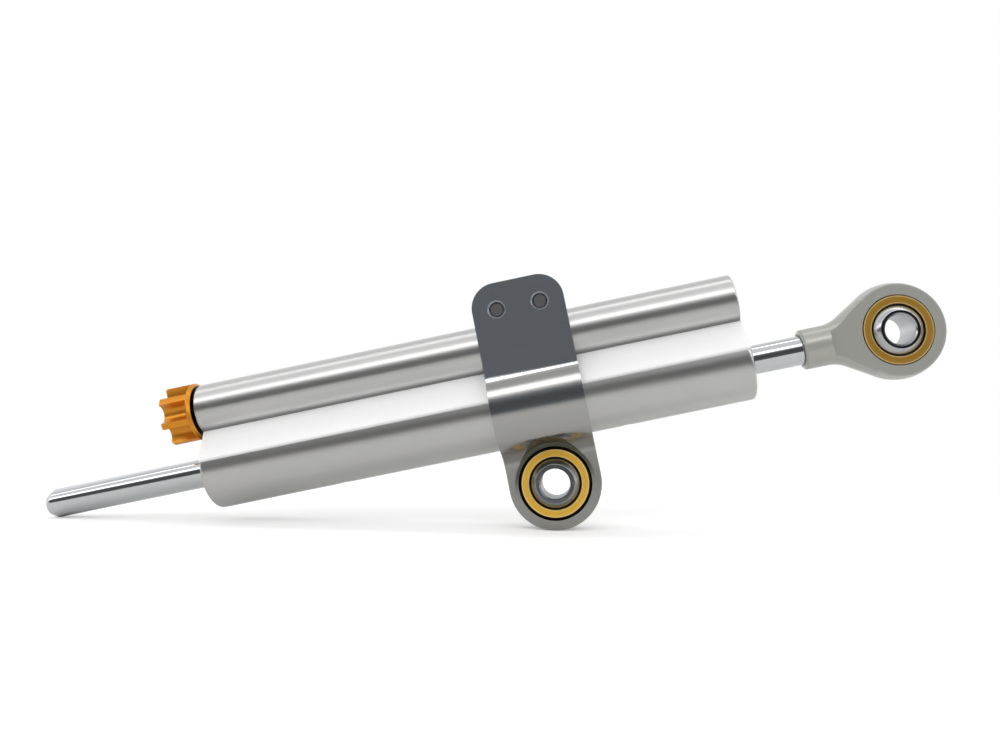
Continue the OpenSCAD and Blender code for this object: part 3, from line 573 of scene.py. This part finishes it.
# The knob sets the damping. It is turned from aluminium and anodised orange-gold, and a cutter runs
# in from its free end to make the flutes between the lobes.
def turned_blank(piece_name, profile, axis_height, steps):
    """A closed profile of (x, radius) points, in millimetres, turned about an axis along X."""
    form = bmesh.new()
    rings = []
    for i in range(steps):
        angle = 2 * math.pi * i / steps
        rings.append([
            form.verts.new(
                Vector((x, -radius * math.cos(angle), axis_height + radius * math.sin(angle))) * millimetre
            )
            for x, radius in profile
        ])
    count = len(profile)
    for i in range(steps):
        here, there = rings[i], rings[(i + 1) % steps]
        for k in range(count):
            form.faces.new((here[k], here[(k + 1) % count], there[(k + 1) % count], there[k]))
    bmesh.ops.recalc_face_normals(form, faces=form.faces)
    mesh = bpy.data.meshes.new(piece_name)
    form.to_mesh(mesh)
    form.free()
    mesh.shade_smooth()
    piece = bpy.data.objects.new(piece_name, mesh)
    bpy.context.scene.collection.objects.link(piece)
    return piece


knob_right = -93.85
knob_length = 8.7
knob_left = knob_right - knob_length
knob_radius = 8.1
knob_bevel = 0.8
knob_tip_bevel = 0.4
flute_end = knob_right - knob_bevel - 0.2
flute_step = 0.01
flute_depth = 3.3
cutter_radius = 2.6
lobes = 7
steps_per_lobe = 56
first_lobe = math.radians(31)
lobe_edge = 0.15
merge_distance = 0.002
head_pocket_radius = 2.24
head_pocket_depth = 1.8
spindle_pocket_radius = 2.1
spindle_pocket_depth = 4.77
screw_hole_radius = 1.03
blank = turned_blank(
    "knob_blank",
    [
        (knob_left, head_pocket_radius),
        (knob_left, knob_radius - knob_tip_bevel),
        (knob_left + knob_tip_bevel, knob_radius),
        (flute_end - flute_step, knob_radius),
        (flute_end, knob_radius),
        (knob_right - knob_bevel, knob_radius),
        (knob_right, knob_radius - knob_bevel),
        (knob_right, spindle_pocket_radius),
        (knob_right - spindle_pocket_depth, spindle_pocket_radius),
        (knob_right - spindle_pocket_depth, screw_hole_radius),
        (knob_left + head_pocket_depth, screw_hole_radius),
        (knob_left + head_pocket_depth, head_pocket_radius),
    ],
    valve_height,
    lobes * steps_per_lobe,
)

fluting = NodeTree(bpy.data.node_groups.new("flutes", "GeometryNodeTree"))
sockets = fluting.tree.interface
sockets.new_socket("Blank", in_out="INPUT", socket_type="NodeSocketGeometry")
flute_sizes = {
    "Lobes": float(lobes),
    "First lobe": first_lobe,
    "Cutter radius": cutter_radius * millimetre,
    "Cutter place": (knob_radius - flute_depth + cutter_radius) * millimetre,
    "Flute end": (flute_end - flute_step / 2) * millimetre,
    "Axis height": valve_height * millimetre,
    "Edge": lobe_edge * millimetre,
}
for size_name in flute_sizes:
    sockets.new_socket(size_name, in_out="INPUT", socket_type="NodeSocketFloat")
sockets.new_socket("Gold", in_out="INPUT", socket_type="NodeSocketMaterial")
sockets.new_socket("Knob", in_out="OUTPUT", socket_type="NodeSocketGeometry")
given = fluting.tree.nodes.new("NodeGroupInput")
need = {socket.name: Value(fluting, socket) for socket in given.outputs if socket.name}
x, y, z = fluting.parts(fluting.node("GeometryNodeInputPosition"))
rise = z - need["Axis height"]
radius = (y * y + rise * rise) ** 0.5
angle = fluting.node("ShaderNodeMath", {"operation": "ARCTAN2"}, [rise, y * -1])
turns = (angle - need["First lobe"]) * need["Lobes"] / (2 * math.pi)
share = fluting.node("ShaderNodeMath", {"operation": "FRACT"}, [turns])
aside = (share - 0.5) * (2 * math.pi) / need["Lobes"]
sine = fluting.node("ShaderNodeMath", {"operation": "SINE"}, [aside])
cosine = fluting.node("ShaderNodeMath", {"operation": "COSINE"}, [aside])
inside = need["Cutter radius"] ** 2 - (need["Cutter place"] * sine) ** 2
aside_by = fluting.node("ShaderNodeMath", {"operation": "ABSOLUTE"}, [sine]) * radius
missed = fluting.node("ShaderNodeMath", {"operation": "GREATER_THAN"}, [aside_by, need["Cutter radius"]])
kept = fluting.node("ShaderNodeMath", {"operation": "MAXIMUM"}, [inside, 0.0]) ** 0.5
floor = need["Cutter place"] * cosine - kept + missed
cut = fluting.node("ShaderNodeMath", {"operation": "SMOOTH_MIN"}, [radius, floor, need["Edge"]])
moved = fluting.node(
    "ShaderNodeCombineXYZ",
    {},
    [
        x,
        fluting.node("ShaderNodeMath", {"operation": "COSINE"}, [angle]) * cut * -1,
        fluting.node("ShaderNodeMath", {"operation": "SINE"}, [angle]) * cut + need["Axis height"],
    ],
)
reached = fluting.node(
    "FunctionNodeCompare", {"data_type": "FLOAT", "operation": "LESS_THAN"}, [x, need["Flute end"]]
)
fluted = fluting.node("GeometryNodeSetPosition", {}, [need["Blank"], reached, moved])
joined = fluting.node(
    "GeometryNodeMergeByDistance", {}, {"Geometry": fluted, "Distance": merge_distance * millimetre}
)
realized = fluting.node("GeometryNodeRealizeInstances", {}, [joined])
golden = fluting.node("GeometryNodeSetMaterial", {}, {"Geometry": realized, "Material": need["Gold"]})
fluting.node("NodeGroupOutput", {}, [golden])

gold_deep = (0.69, 0.25, 0.017, 1)
gold_pale = (0.82, 0.345, 0.033, 1)
shadow_black = (0.01, 0.006, 0.005, 1)
anodised = Finish(bpy.data.materials.new("orange_gold_anodising"))
spots = grain(anodised, (0.5, 0.2, 0.2), 3)
marks = grain(anodised, (0.12, 5, 5))
end_face = anodised.place()[0].after(knob_right - 0.1, knob_right - 0.03)
tone = anodised.blended(end_face, anodised.blended(spots, gold_deep, gold_pale), shadow_black)
gold = surface(anodised, tone, 0.27 + marks * 0.1, marks + spots * 0.4, 0.004, 0.7)


def made_by_nodes(piece, tree, name, **inputs):
    """Runs a tree of Geometry Nodes on a piece and keeps the result as a plain mesh."""
    modifier = piece.modifiers.new(name, "NODES")
    modifier.node_group = tree
    for item in tree.interface.items_tree:
        if item.in_out == "INPUT" and item.name in inputs:
            modifier[item.identifier] = inputs[item.name]
    piece.update_tag()
    ready = piece.evaluated_get(bpy.context.evaluated_depsgraph_get())
    mesh = bpy.data.meshes.new_from_object(ready)
    piece.modifiers.remove(modifier)
    piece.data = mesh
    piece.name = name
    mesh.name = name
    return piece


knob = made_by_nodes(blank, fluting.tree, "adjuster_knob_detailed", Gold=gold, **flute_sizes)
break_edges(knob, 0.14)
dress(knob, "adjuster", "knob_gold", "adjuster_knob")


# What is inside the body, or shows only at its ends, is plain turned and bought-in parts. Each gets
# the finish of its own metal or rubber and keeps its CAD shape.
speck_size = (0.3, 0.3, 0.3)


def turned_finish(name, pale, deep, roughness, metallic=1.0, relief_height=0.004, size=(0.12, 4, 4)):
    finish = Finish(bpy.data.materials.new(name))
    marks = grain(finish, size, 3)
    haze = grain(finish, (3, 3, 3))
    return surface(
        finish,
        finish.blended(marks * 0.5 + haze * 0.5, (*deep, 1), (*pale, 1)),
        roughness + marks * 0.1,
        marks,
        relief_height,
        metallic,
    )


bright = turned_finish("turned_aluminium", (0.80, 0.80, 0.79), (0.68, 0.68, 0.67), 0.22)
bronze = turned_finish("bearing_bronze", (0.62, 0.42, 0.20), (0.50, 0.32, 0.14), 0.3)
rubber = turned_finish(
    "black_rubber", (0.03, 0.03, 0.032), (0.016, 0.016, 0.017), 0.55, 0.0, 0.01, speck_size
)
clip_steel = turned_finish("phosphated_steel", (0.16, 0.16, 0.165), (0.09, 0.09, 0.09), 0.4)
steel = turned_finish("ground_steel", (0.60, 0.60, 0.60), (0.48, 0.48, 0.48), 0.16, 1.0, 0.002, (0.08, 2, 2))
slick = turned_finish("filled_ptfe", (0.20, 0.11, 0.06), (0.13, 0.07, 0.04), 0.45, 0.0, 0.006, speck_size)
spring_steel = turned_finish("drawn_spring_wire", (0.40, 0.39, 0.37), (0.28, 0.27, 0.26), 0.28)
for finish, nodes in (
    (bright, ("left_seal_head", "right_seal_head", "valve_housing", "divider_piston", "end_plug")),
    (bronze, ("guide_bushes", "needle_guide", "valve_seat", "piston")),
    (rubber, ("rod_seals", "wiper_seals", "head_seal_rings", "spindle_seal_ring", "housing_seal_ring",
              "divider_seal_ring", "plug_seal_ring")),
    (clip_steel, ("head_circlips", "piston_circlips", "guide_circlip", "knob_screw")),
    (steel, ("passage_plugs", "adjuster_spindle", "metering_needle", "detent_ball")),
    (slick, ("piston_ring",)),
    (spring_steel, ("detent_spring", "reservoir_spring")),
):
    for node in nodes:
        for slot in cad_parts[node].material_slots:
            slot.material = finish


# The reservoir's spring is wound from steel wire. One end rests on the plug in the valve tube's end,
# and in the damper its coils close up towards it as the dividing piston moves. Here it is a rigid
# merged copy of its CAD part, fixed to the body.
spring = merged_copy("reservoir_spring", "reservoir_spring_detailed")
spring.data.materials.append(spring_steel)
dress(spring, "root", "spring_steel", "reservoir_spring")
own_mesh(spring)
